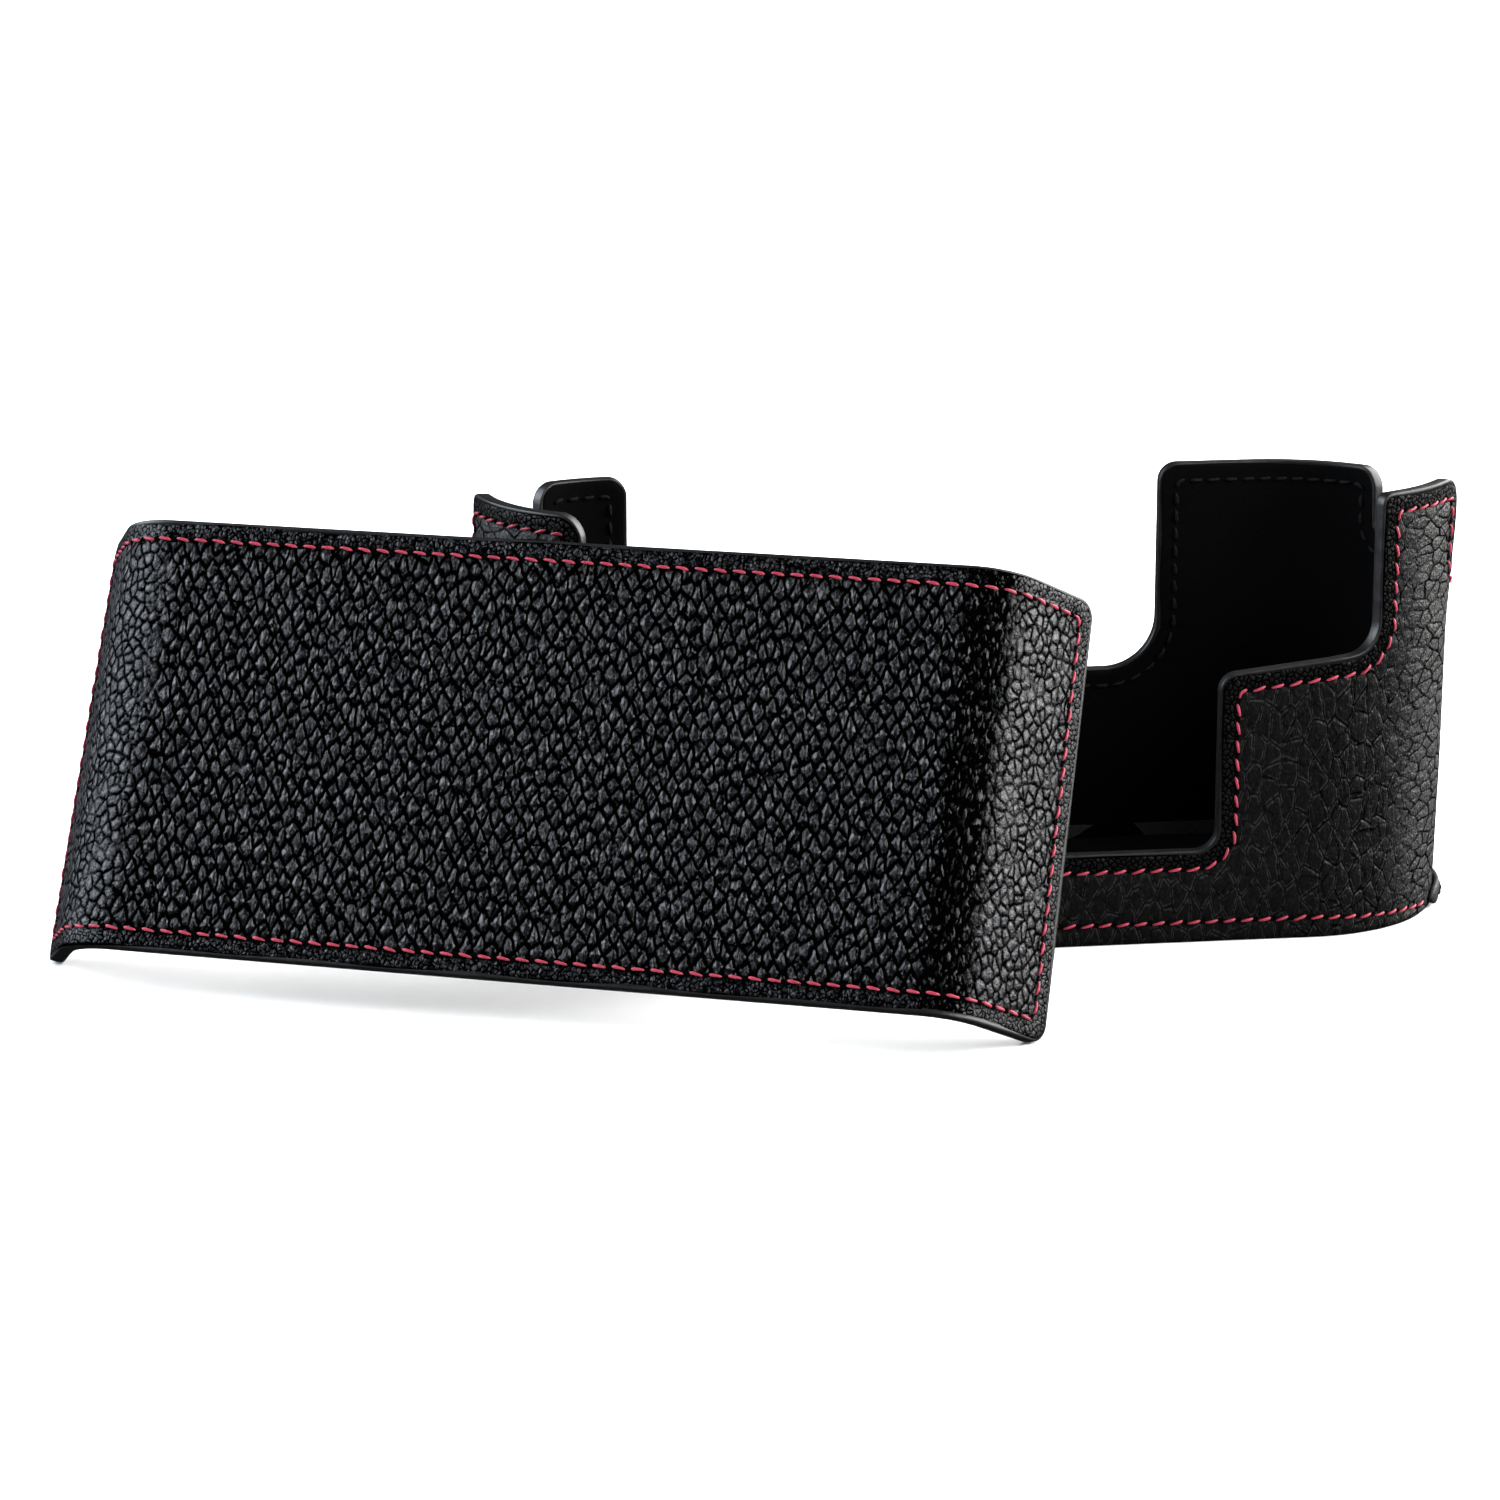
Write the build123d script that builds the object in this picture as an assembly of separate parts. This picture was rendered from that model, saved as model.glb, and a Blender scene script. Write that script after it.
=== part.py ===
"""Leather ever ready case: a half case that a camera body stands in, and a cover that comes away.

Millimetres, +Z up. The origin is the centre of the half case's underside, and the front faces -Y.
The cover stands on the bottom corners of its curled ends and leans back towards the half case.
"""

import os
from math import cos, hypot, radians, sin

from build123d import *

# half case, overall
CASE_LENGTH = 144.0
CASE_DEPTH = 47.2
FRONT_HEIGHT = 65.3
BACK_HEIGHT = 62.2

# layers of every wall, from the outside in
LEATHER = 1.1
STIFFENER = 0.5
LINING = 0.6

# front wall: the strips are measured from each end, the shoulders from the right strip inwards
LEFT_STRIP_WIDTH = 13.4
RIGHT_STRIP_WIDTH = 14.8
SHOULDER_WIDTH = 23.7
SHOULDER_LOW = 39.8
SHOULDER_HIGH = 42.5
BRIDGE_HEIGHT = 13.8
STRIP_CORNER_LEFT = 3.8
STRIP_CORNER_RIGHT = 1.6
STRIP_FILLET = 5.0
SHOULDER_CORNER = 2.6
BRIDGE_FILLET = 3.2

# back wall, measured from each end towards the middle
LEFT_TAB_WIDTH = 24.8
RIGHT_TAB_WIDTH = 37.7
SHELF_HEIGHT = 30.6
SHELF_FILLET = 8.0
TAB_CORNER = 2.8

# gaps at the two ends for the camera's strap lugs
NOTCH_BOTTOM = 51.6
LEFT_NOTCH_FRONT = 1.0
LEFT_NOTCH_BACK = 19.6
RIGHT_NOTCH_FRONT = -8.0
RIGHT_NOTCH_BACK = 14.3
NOTCH_CORNER = 2.6
NOTCH_FRONT_CORNER = 4.4
NOTCH_BACK_CORNER = 2.2

# lengths nearer than this count as equal
SAME = 0.005

# base
BASE_LEATHER = 1.2
BASE_LIP = 6.0
BASE_PLATE = 2.4
BINDING_BOTTOM = 0.5
BINDING_HEIGHT = 2.9
BINDING_THICKNESS = 1.0
BINDING_START = -12.0
BINDING_EDGE = 0.4

# stitching: a thread lies this far in from the edge, this wide and this proud
RIM_STITCH_INSET = 2.6
BASE_STITCH_HEIGHT = 3.3
BASE_STITCH_END = -13.5
THREAD_WIDTH = 0.6
THREAD_PROUD = 0.25

# captive camera screw
SCREW_OFFSET = 10.0
SCREW_RADIUS = 3.175
SCREW_STUB = 4.6
SCREW_CHAMFER = 0.6
HEAD_RADIUS = 9.0
HEAD_THICKNESS = 2.2
HEAD_RECESS = 0.3
HEAD_FILLET = 0.4
HEAD_CLEARANCE = 0.5
COIN_SLOT_WIDTH = 1.8
COIN_SLOT_DEPTH = 1.1
BEARING_CLEARANCE = 0.05
BUSHING_WALL = 2.0
BUSHING_PROUD = 0.3
RETAINER_WIDTH = 2.2
RETAINER_THICKNESS = 0.6
RETAINER_GROOVE = 0.6
AXIAL_CLEARANCE = 0.1

# flexible magnet strips, let into the stiffener
MAGNET_WIDTH = 6.0
MAGNET_LENGTH = 24.0
CASE_MAGNET_MIDDLE = 28.0
CASE_MAGNET_ANGLE = 35.0

# cover
COVER_FLAT_WIDTH = 116.7
COVER_BEND_RADIUS = 10.2
COVER_BEND_ANGLE = 60.8
COVER_TAIL = 12.2
COVER_HEIGHT = 62.5
COVER_CORNER = 2.6
COVER_STITCH_INSET = 2.8
COVER_STITCH_CORNER = 1.0

# how the cover stands beside the half case
COVER_YAW = 23.4
COVER_LEAN = 28.5
COVER_GAP = 0.6
COVER_ALONG = -2.9

# worked out
END_RADIUS = CASE_DEPTH / 2
END_CENTRE = CASE_LENGTH / 2 - END_RADIUS
WALL = LEATHER + STIFFENER + LINING
LEFT_STRIP_EDGE = LEFT_STRIP_WIDTH - CASE_LENGTH / 2
RIGHT_STRIP_EDGE = CASE_LENGTH / 2 - RIGHT_STRIP_WIDTH
STEP_EDGE = RIGHT_STRIP_EDGE - SHOULDER_WIDTH
PLATE_TOP = BASE_LEATHER + BASE_PLATE
FLOOR_TOP = PLATE_TOP + LINING
HEAD_TOP = HEAD_RECESS + HEAD_THICKNESS
BUSHING_TOP = FLOOR_TOP + BUSHING_PROUD
RETAINER_BOTTOM = BUSHING_TOP + AXIAL_CLEARANCE
SCREW_TOP = RETAINER_BOTTOM + RETAINER_THICKNESS + SCREW_STUB
BEYOND = 40.0


def racetrack(depth_in):
    """The half case's plan, moved in from its outer face."""
    return SlotOverall(CASE_LENGTH - 2 * depth_in, CASE_DEPTH - 2 * depth_in)


def ring(depth_from, depth_to, low, high):
    """An upright wall layer between two depths from the outer face."""
    return Pos(0, 0, low) * extrude(racetrack(depth_from) - racetrack(depth_to), high - low)


def rounded_polygon(corners):
    """A closed outline from (x, y, corner radius) triples."""
    flat = make_face(Polyline(*[(x, y) for x, y, _ in corners], close=True))
    for x, y, radius in corners:
        if radius > 0:
            corner = flat.vertices().sort_by_distance((x, y, 0))[0]
            flat = fillet(corner, radius)
    return flat


def front_outline():
    """What the front wall fills, seen from the front, as X and Z."""
    far = CASE_LENGTH
    return rounded_polygon([
        (-far, -BEYOND, 0),
        (-far, FRONT_HEIGHT, 0),
        (LEFT_STRIP_EDGE, FRONT_HEIGHT, STRIP_CORNER_LEFT),
        (LEFT_STRIP_EDGE, SHOULDER_HIGH, STRIP_FILLET),
        (-STEP_EDGE, SHOULDER_LOW, SHOULDER_CORNER),
        (-STEP_EDGE, BRIDGE_HEIGHT, BRIDGE_FILLET),
        (STEP_EDGE, BRIDGE_HEIGHT, BRIDGE_FILLET),
        (STEP_EDGE, SHOULDER_LOW, SHOULDER_CORNER),
        (RIGHT_STRIP_EDGE, SHOULDER_HIGH, STRIP_FILLET),
        (RIGHT_STRIP_EDGE, FRONT_HEIGHT, STRIP_CORNER_RIGHT),
        (far, FRONT_HEIGHT, 0),
        (far, -BEYOND, 0),
    ])


def back_outline():
    """What the back wall fills, as X and Z."""
    far = CASE_LENGTH
    left_edge = LEFT_TAB_WIDTH - CASE_LENGTH / 2
    right_edge = CASE_LENGTH / 2 - RIGHT_TAB_WIDTH
    return rounded_polygon([
        (-far, -BEYOND, 0),
        (-far, BACK_HEIGHT, 0),
        (left_edge, BACK_HEIGHT, TAB_CORNER),
        (left_edge, SHELF_HEIGHT, SHELF_FILLET),
        (right_edge, SHELF_HEIGHT, SHELF_FILLET),
        (right_edge, BACK_HEIGHT, TAB_CORNER),
        (far, BACK_HEIGHT, 0),
        (far, -BEYOND, 0),
    ])


def end_outline(notch_front, notch_back):
    """What one end wall fills, as Y and Z, with the gap for a strap lug."""
    far = CASE_DEPTH
    return rounded_polygon([
        (-far, -BEYOND, 0),
        (-far, FRONT_HEIGHT, 0),
        (notch_front, FRONT_HEIGHT, NOTCH_FRONT_CORNER),
        (notch_front, NOTCH_BOTTOM, NOTCH_CORNER),
        (notch_back, NOTCH_BOTTOM, NOTCH_CORNER),
        (notch_back, BACK_HEIGHT, NOTCH_BACK_CORNER),
        (far, BACK_HEIGHT, 0),
        (far, -BEYOND, 0),
    ])


def moved_in(outline, inset):
    """An outline moved in from its own edge."""
    if inset == 0:
        return outline
    return offset(outline, -inset, kind=Kind.INTERSECTION)


def wall_region(inset=0.0):
    """All the space that the cut-out walls may fill, moved in from their free edges."""
    # Plane.XZ looks along +Y, so its extrusions run towards -Y
    front = extrude(Plane.XZ * moved_in(front_outline(), inset), CASE_DEPTH)
    back = extrude(Plane.XZ * moved_in(back_outline(), inset), -CASE_DEPTH)
    reach = CASE_LENGTH / 2 + BEYOND - END_CENTRE
    right_end = end_outline(RIGHT_NOTCH_FRONT, RIGHT_NOTCH_BACK)
    left_end = end_outline(LEFT_NOTCH_FRONT, LEFT_NOTCH_BACK)
    right = extrude(Plane.YZ.offset(END_CENTRE) * moved_in(right_end, inset), reach)
    left = extrude(Plane.YZ.offset(-END_CENTRE) * moved_in(left_end, inset), -reach)
    middle = Box(2 * END_CENTRE, 2 * CASE_DEPTH, 4 * FRONT_HEIGHT)
    return (front + back) & (left + middle + right)


def seam_region(inset):
    """The band that a row of stitches runs in, along every free edge."""
    return wall_region(inset - THREAD_WIDTH / 2) - wall_region(inset + THREAD_WIDTH / 2)


def case_magnet_pocket(side):
    """The block that a magnet strip takes out of the stiffener at one end, side -1 or 1."""
    block = Box(4 * WALL, MAGNET_WIDTH, MAGNET_LENGTH)
    turned = Rot(0, 0, -CASE_MAGNET_ANGLE) * Pos(END_RADIUS, 0, CASE_MAGNET_MIDDLE) * block
    placed = Pos(END_CENTRE, 0, 0) * turned
    return placed if side > 0 else mirror(placed, Plane.YZ)


def wall_leather():
    return ring(0, LEATHER, 0, FRONT_HEIGHT) & wall_region()


def wall_stiffener():
    layer = ring(LEATHER, LEATHER + STIFFENER, BASE_LIP, FRONT_HEIGHT) & wall_region()
    return layer - case_magnet_pocket(-1) - case_magnet_pocket(1)


def case_magnet(side):
    return ring(LEATHER, LEATHER + STIFFENER, BASE_LIP, FRONT_HEIGHT) & case_magnet_pocket(side)


def wall_lining():
    return ring(LEATHER + STIFFENER, WALL, BASE_LIP, FRONT_HEIGHT) & wall_region()


def base_leather():
    """A shallow tray: a floor, with a lip turned up inside the wall leather."""
    floor = extrude(racetrack(LEATHER), BASE_LEATHER)
    lip = ring(LEATHER, WALL, BASE_LEATHER, BASE_LIP)
    return floor + lip - head_recess()


def head_recess():
    depth = HEAD_TOP + AXIAL_CLEARANCE
    hole = Cylinder(HEAD_RADIUS + HEAD_CLEARANCE, depth, align=(Align.CENTER, Align.CENTER, Align.MIN))
    return Pos(SCREW_OFFSET, 0, 0) * hole


def bushing_hole():
    radius = SCREW_RADIUS + BEARING_CLEARANCE + BUSHING_WALL
    hole = Cylinder(radius, BUSHING_TOP, align=(Align.CENTER, Align.CENTER, Align.MIN))
    return Pos(SCREW_OFFSET, 0, 0) * hole


def base_plate():
    plate = Pos(0, 0, BASE_LEATHER) * extrude(racetrack(WALL), BASE_PLATE)
    return plate - head_recess() - bushing_hole()


def base_lining():
    return Pos(0, 0, PLATE_TOP) * extrude(racetrack(WALL), LINING) - bushing_hole()


def screw_bushing():
    """A plain bearing ring, pressed into the plate and standing a little above the lining."""
    bottom = HEAD_TOP + AXIAL_CLEARANCE
    outer = SCREW_RADIUS + BEARING_CLEARANCE + BUSHING_WALL
    flat = Circle(outer) - Circle(SCREW_RADIUS + BEARING_CLEARANCE)
    return Pos(SCREW_OFFSET, 0, bottom) * extrude(flat, BUSHING_TOP - bottom)


def tripod_screw():
    """A wide slotted head, a plain journal, a groove for the retainer and the threaded stub."""
    upright = (Align.CENTER, Align.CENTER, Align.MIN)
    head = fillet(Cylinder(HEAD_RADIUS, HEAD_THICKNESS, align=upright).edges(), HEAD_FILLET)
    slot = Box(2 * HEAD_RADIUS, COIN_SLOT_WIDTH, COIN_SLOT_DEPTH, align=upright)
    shank = Cylinder(SCREW_RADIUS, SCREW_TOP - HEAD_TOP, align=upright)
    shank = chamfer(shank.edges().sort_by(Axis.Z)[-1], SCREW_CHAMFER)
    groove = Cylinder(SCREW_RADIUS, RETAINER_THICKNESS, align=upright)
    groove -= Cylinder(SCREW_RADIUS - RETAINER_GROOVE, RETAINER_THICKNESS, align=upright)
    screw = Pos(0, 0, HEAD_RECESS) * (head - slot)
    screw += Pos(0, 0, HEAD_TOP) * shank
    screw -= Pos(0, 0, RETAINER_BOTTOM) * groove
    return Pos(SCREW_OFFSET, 0, 0) * screw


def screw_retainer():
    """An open snap ring in the screw's groove, above the bushing."""
    inner = SCREW_RADIUS - RETAINER_GROOVE
    flat = Circle(inner + RETAINER_WIDTH) - Circle(inner)
    mouth = Pos(inner + RETAINER_WIDTH / 2, 0) * Rectangle(2 * RETAINER_WIDTH, inner)
    return Pos(SCREW_OFFSET, 0, RETAINER_BOTTOM) * extrude(flat - mouth, RETAINER_THICKNESS)


def behind(y):
    """Everything behind a plane across the half case."""
    size = 2 * CASE_LENGTH
    return Pos(0, y, 0) * Box(size, size, size, align=(Align.CENTER, Align.MIN, Align.CENTER))


def rear_base_binding():
    """A strip folded round the bottom edge of the back, from one end to the other."""
    strip = ring(-BINDING_THICKNESS, 0, BINDING_BOTTOM, BINDING_BOTTOM + BINDING_HEIGHT) & behind(BINDING_START)
    outside = [edge for edge in strip.edges() if is_outer_binding_edge(edge)]
    return fillet(outside, BINDING_EDGE)


def is_outer_binding_edge(edge):
    """True on the two long outer edges, which run level round the binding's proud face."""
    box = edge.bounding_box()
    level = box.size.Z < SAME
    middle = edge.position_at(0.5)
    past_centre = max(abs(middle.X) - END_CENTRE, 0)
    reach = hypot(past_centre, middle.Y)
    return level and abs(reach - END_RADIUS - BINDING_THICKNESS) < SAME


def binding_thread():
    middle = BINDING_BOTTOM + BINDING_HEIGHT / 2
    low = middle - THREAD_WIDTH / 2
    band = ring(-BINDING_THICKNESS - THREAD_PROUD, -BINDING_THICKNESS, low, low + THREAD_WIDTH)
    return band & behind(BINDING_START + RIM_STITCH_INSET)


def base_thread():
    low = BASE_STITCH_HEIGHT - THREAD_WIDTH / 2
    return ring(-THREAD_PROUD, 0, low, low + THREAD_WIDTH) - behind(BASE_STITCH_END)


def rim_thread_outer():
    return ring(-THREAD_PROUD, 0, 0, FRONT_HEIGHT) & seam_region(RIM_STITCH_INSET)


def rim_thread_inner():
    return ring(WALL, WALL + THREAD_PROUD, 0, FRONT_HEIGHT) & seam_region(RIM_STITCH_INSET)


def cover_section(depth_from, depth_to, inset):
    """The cover's level section between two depths, flat in the middle and curled at both ends."""
    bend = radians(COVER_BEND_ANGLE)

    def right_side(depth):
        radius = COVER_BEND_RADIUS - depth
        half = COVER_FLAT_WIDTH / 2
        start = (half, depth)
        middle = (half + radius * sin(bend / 2), COVER_BEND_RADIUS - radius * cos(bend / 2))
        end = (half + radius * sin(bend), COVER_BEND_RADIUS - radius * cos(bend))
        tip = (end[0] + (COVER_TAIL - inset) * cos(bend), end[1] + (COVER_TAIL - inset) * sin(bend))
        return start, middle, end, tip

    def mirrored(point):
        return (-point[0], point[1])

    near = right_side(depth_from)
    far = right_side(depth_to)
    lines = []
    for start, middle, end, tip in (near, far):
        lines.append(Line(mirrored(start), start))
        lines.append(ThreePointArc(start, middle, end))
        lines.append(Line(end, tip))
        lines.append(ThreePointArc(mirrored(start), mirrored(middle), mirrored(end)))
        lines.append(Line(mirrored(end), mirrored(tip)))
    lines.append(Line(near[3], far[3]))
    lines.append(Line(mirrored(near[3]), mirrored(far[3])))
    return make_face(lines)


def cover_layer(depth_from, depth_to, inset=0.0, corner=COVER_CORNER):
    """One layer of the cover with its four corners rounded, standing upright at its own origin."""
    flat = cover_section(depth_from, depth_to, inset)
    layer = Pos(0, 0, inset) * extrude(flat, COVER_HEIGHT - 2 * inset)
    thickness = depth_to - depth_from
    half = COVER_FLAT_WIDTH / 2
    corners = [edge for edge in layer.edges()
               if abs(edge.length - thickness) < SAME and abs(edge.position_at(0.5).X) > half]
    return fillet(corners, corner)


def cover_stand_height():
    """How high the flat's bottom edge is when the rounded corners touch the ground."""
    bend = radians(COVER_BEND_ANGLE)
    lean = radians(COVER_LEAN)
    along = sin(bend) * sin(lean)
    up = cos(lean)
    slope = hypot(along, up)
    tail_at = COVER_TAIL - COVER_CORNER + COVER_CORNER * along / slope
    height_at = COVER_CORNER - COVER_CORNER * up / slope
    depth_at = COVER_BEND_RADIUS - (COVER_BEND_RADIUS - WALL) * cos(bend) + tail_at * sin(bend)
    return depth_at * sin(lean) - height_at * cos(lean)


def cover_place():
    """Where the cover stands: its top edge a small gap in front of the half case's left end."""
    yaw = radians(COVER_YAW)
    lean = radians(COVER_LEAN)
    reach = END_RADIUS + COVER_GAP + COVER_HEIGHT * sin(lean) + WALL * cos(lean)
    x = -END_CENTRE - reach * sin(yaw) + COVER_ALONG * cos(yaw)
    y = -reach * cos(yaw) - COVER_ALONG * sin(yaw)
    return Pos(x, y, cover_stand_height()) * Rot(0, 0, -COVER_YAW) * Rot(-COVER_LEAN, 0, 0)


def cover_magnet_pocket(side):
    """The block that a magnet strip takes out of the cover's stiffener in one curled end."""
    bend = radians(COVER_BEND_ANGLE)
    depth = LEATHER + STIFFENER / 2
    radius = COVER_BEND_RADIUS - depth
    along = COVER_TAIL / 2
    x = COVER_FLAT_WIDTH / 2 + radius * sin(bend) + along * cos(bend)
    y = COVER_BEND_RADIUS - radius * cos(bend) + along * sin(bend)
    block = Rot(0, 0, COVER_BEND_ANGLE) * Box(MAGNET_WIDTH, 2 * WALL, MAGNET_LENGTH)
    placed = Pos(x, y, COVER_HEIGHT / 2) * block
    return placed if side > 0 else mirror(placed, Plane.YZ)


def cover_stiffener():
    layer = cover_layer(LEATHER, LEATHER + STIFFENER)
    return layer - cover_magnet_pocket(-1) - cover_magnet_pocket(1)


def cover_magnet(side):
    return cover_layer(LEATHER, LEATHER + STIFFENER) & cover_magnet_pocket(side)


def cover_thread(depth_from, depth_to):
    """One closed run of thread round the cover's four edges."""
    half_width = THREAD_WIDTH / 2
    outside = COVER_STITCH_INSET - half_width
    inside = COVER_STITCH_INSET + half_width
    outer = cover_layer(depth_from, depth_to, outside, COVER_STITCH_CORNER + half_width)
    inner = cover_layer(depth_from - WALL, depth_to + WALL, inside, COVER_STITCH_CORNER - half_width)
    return outer - inner


def all_nodes():
    place = cover_place()
    return {
        "wall_leather": wall_leather(),
        "wall_stiffener": wall_stiffener(),
        "wall_lining": wall_lining(),
        "case_magnet_left": case_magnet(-1),
        "case_magnet_right": case_magnet(1),
        "base_leather": base_leather(),
        "base_plate": base_plate(),
        "base_lining": base_lining(),
        "screw_bushing": screw_bushing(),
        "rear_base_binding": rear_base_binding(),
        "binding_thread": binding_thread(),
        "base_thread": base_thread(),
        "rim_thread_outer": rim_thread_outer(),
        "rim_thread_inner": rim_thread_inner(),
        "tripod_screw": tripod_screw(),
        "screw_retainer": screw_retainer(),
        "cover_leather": place * cover_layer(0, LEATHER),
        "cover_stiffener": place * cover_stiffener(),
        "cover_lining": place * cover_layer(LEATHER + STIFFENER, WALL),
        "cover_magnet_left": place * cover_magnet(-1),
        "cover_magnet_right": place * cover_magnet(1),
        "cover_thread_outer": place * cover_thread(-THREAD_PROUD, 0),
        "cover_thread_inner": place * cover_thread(WALL, WALL + THREAD_PROUD),
    }


os.makedirs("parts", exist_ok=True)
for name, shape in all_nodes().items():
    export_step(shape, f"parts/{name}.step")
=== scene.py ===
"""A two-piece leather ever ready case: a half case, and a curled cover that leans beside it."""

from math import acos, asin, cos, hypot, pi, radians, sin, tau

import bpy
import numpy as np
from mathutils import Matrix, Vector


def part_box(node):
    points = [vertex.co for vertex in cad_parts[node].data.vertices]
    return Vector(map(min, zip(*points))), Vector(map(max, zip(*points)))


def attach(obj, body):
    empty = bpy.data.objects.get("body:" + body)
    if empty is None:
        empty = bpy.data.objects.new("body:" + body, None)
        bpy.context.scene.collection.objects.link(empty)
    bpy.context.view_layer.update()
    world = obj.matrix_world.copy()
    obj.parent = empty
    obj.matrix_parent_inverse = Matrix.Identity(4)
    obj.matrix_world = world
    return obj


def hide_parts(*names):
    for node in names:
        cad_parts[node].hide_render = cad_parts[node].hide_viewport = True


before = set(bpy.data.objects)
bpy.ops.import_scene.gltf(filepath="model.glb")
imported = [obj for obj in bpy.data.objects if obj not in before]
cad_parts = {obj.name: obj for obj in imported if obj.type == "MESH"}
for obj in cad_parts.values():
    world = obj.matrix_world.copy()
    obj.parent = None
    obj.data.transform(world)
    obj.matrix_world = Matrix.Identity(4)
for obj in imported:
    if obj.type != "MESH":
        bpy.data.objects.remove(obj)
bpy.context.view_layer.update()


# ---- Camera ---------------------------------------------------------------------------------
# A moderate telephoto view, a little above the table and a little to the left of the case.

MM = 0.001

camera_data = bpy.data.cameras.new("view")
camera_data.lens = 113.9
camera_data.sensor_width = 36.0
camera_data.clip_end = 20
camera = bpy.data.objects.new("view", camera_data)
bpy.context.scene.collection.objects.link(camera)
camera.location = Vector((-126.8, -670.2, 198.5)) * MM
aim = Vector((-31.6, 0, 25.3)) * MM - camera.location
camera.rotation_euler = aim.to_track_quat("-Z", "Y").to_euler()
bpy.context.scene.camera = camera


# ---- Finishes -------------------------------------------------------------------------------
# Every surface finish is a small sum written in plain arithmetic. The wall leather is the first
# piece that needs one, so the two classes stand here, just ahead of it.

class Signal:
    """One socket of a finish, which takes part in arithmetic."""

    def __init__(self, finish, socket):
        self.finish = finish
        self.socket = socket

    def math(self, operation, first, second):
        return self.finish.math(operation, first, second)

    def __add__(self, other):
        return self.math("ADD", self, other)

    def __sub__(self, other):
        return self.math("SUBTRACT", self, other)

    def __rsub__(self, other):
        return self.math("SUBTRACT", other, self)

    def __mul__(self, other):
        return self.math("MULTIPLY", self, other)

    def __abs__(self):
        return self.math("ABSOLUTE", self, 0)

    def __pow__(self, other):
        return self.math("POWER", self, other)

    __radd__ = __add__
    __rmul__ = __mul__


class Finish:
    """A material being made, around one Principled shader."""

    def __init__(self, name, **constants):
        self.material = bpy.data.materials.new(name)
        self.material.use_nodes = True
        self.tree = self.material.node_tree
        self.shader = self.tree.nodes["Principled BSDF"]
        for key, value in constants.items():
            self.set({key.replace("_", " ").title().replace("Ior", "IOR"): value})

    def node(self, kind, settings=None, sockets=None, output=0):
        """Any node: its settings first, then the values or links of its sockets."""
        made = self.tree.nodes.new(kind)
        for key, value in (settings or {}).items():
            setattr(made, key, value)
        for key, value in (sockets or {}).items():
            self.feed(made.inputs[key], value)
        return Signal(self, made.outputs[output])

    def feed(self, socket, value):
        if isinstance(value, Signal):
            self.tree.links.new(value.socket, socket)
        else:
            socket.default_value = value

    def set(self, values):
        """Values or links for the Principled shader's own sockets."""
        for key, value in values.items():
            self.feed(self.shader.inputs[key], value)

    def math(self, operation, first, second):
        return self.node("ShaderNodeMath", {"operation": operation}, {0: first, 1: second})

    def along(self, place):
        """How far along the hide a place is, from the middle towards +X."""
        return self.node("ShaderNodeSeparateXYZ", {}, {0: place})

    def step(self, value, low, high):
        """A soft step from 0 at low to 1 at high."""
        return self.node("ShaderNodeMapRange", {"interpolation_type": "SMOOTHSTEP"},
                         {"Value": value, "From Min": low, "From Max": high})

    def mix(self, share, first, second):
        return self.node("ShaderNodeMix", {"data_type": "RGBA"}, {0: share, 6: first, 7: second}, 2)

    def vector(self, operation, first, second):
        return self.node("ShaderNodeVectorMath", {"operation": operation}, {0: first, 1: second})

    def noise(self, place, size, detail=2.0, roughness=0.5):
        """Even noise from 0 to 1 whose lumps are about size across."""
        return self.node("ShaderNodeTexNoise", {}, {"Vector": place, "Scale": 1 / size, "Detail": detail,
                                                    "Roughness": roughness})

    def paint_shade(self, share):
        """Turns the finish to lightless black by a share: painted shade, as at the bottom of a crease."""
        shade_black = self.node("ShaderNodeBsdfPrincipled", {}, {"Base Color": (0.0003, 0.0003, 0.0003, 1),
                                                            "Roughness": 1.0, "Specular IOR Level": 0.0})
        mixed = self.node("ShaderNodeMixShader", {}, {0: share, 1: Signal(self, self.shader.outputs[0]),
                                                      2: shade_black})
        self.feed(self.tree.nodes["Material Output"].inputs["Surface"], mixed)

    def bump(self, height_mm, strength=1.0):
        """Relief from a height in millimetres."""
        bumped = self.node("ShaderNodeBump", {}, {"Strength": strength, "Distance": MM, "Height": height_mm})
        self.set({"Normal": bumped})


def grain_place(finish, stretch=(1, 1, 1), wander=0.0, wander_size=1.0):
    """Where a point lies on the flat hide, in millimetres, stretched and made to wander a little."""
    place = finish.node("ShaderNodeAttribute", {"attribute_name": "hide_mm"}, output=1)
    if wander:
        sockets = {"Vector": place, "Scale": 1 / wander_size, "Detail": 1.0}
        shift = finish.node("ShaderNodeTexNoise", {}, sockets, output=1)
        centred = finish.vector("SUBTRACT", shift, (0.5, 0.5, 0.5))
        place = finish.vector("ADD", place, finish.vector("MULTIPLY", centred, (wander,) * 3))
    return finish.vector("MULTIPLY", place, stretch)


def cells(finish, place, feature, uneven=1.0, dimensions="2D"):
    """Distance inside a net of natural cells, each about one unit across."""
    return finish.node("ShaderNodeTexVoronoi", {"feature": feature, "voronoi_dimensions": dimensions},
                       {"Vector": place, "Scale": 1.0, "Randomness": uneven})


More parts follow.
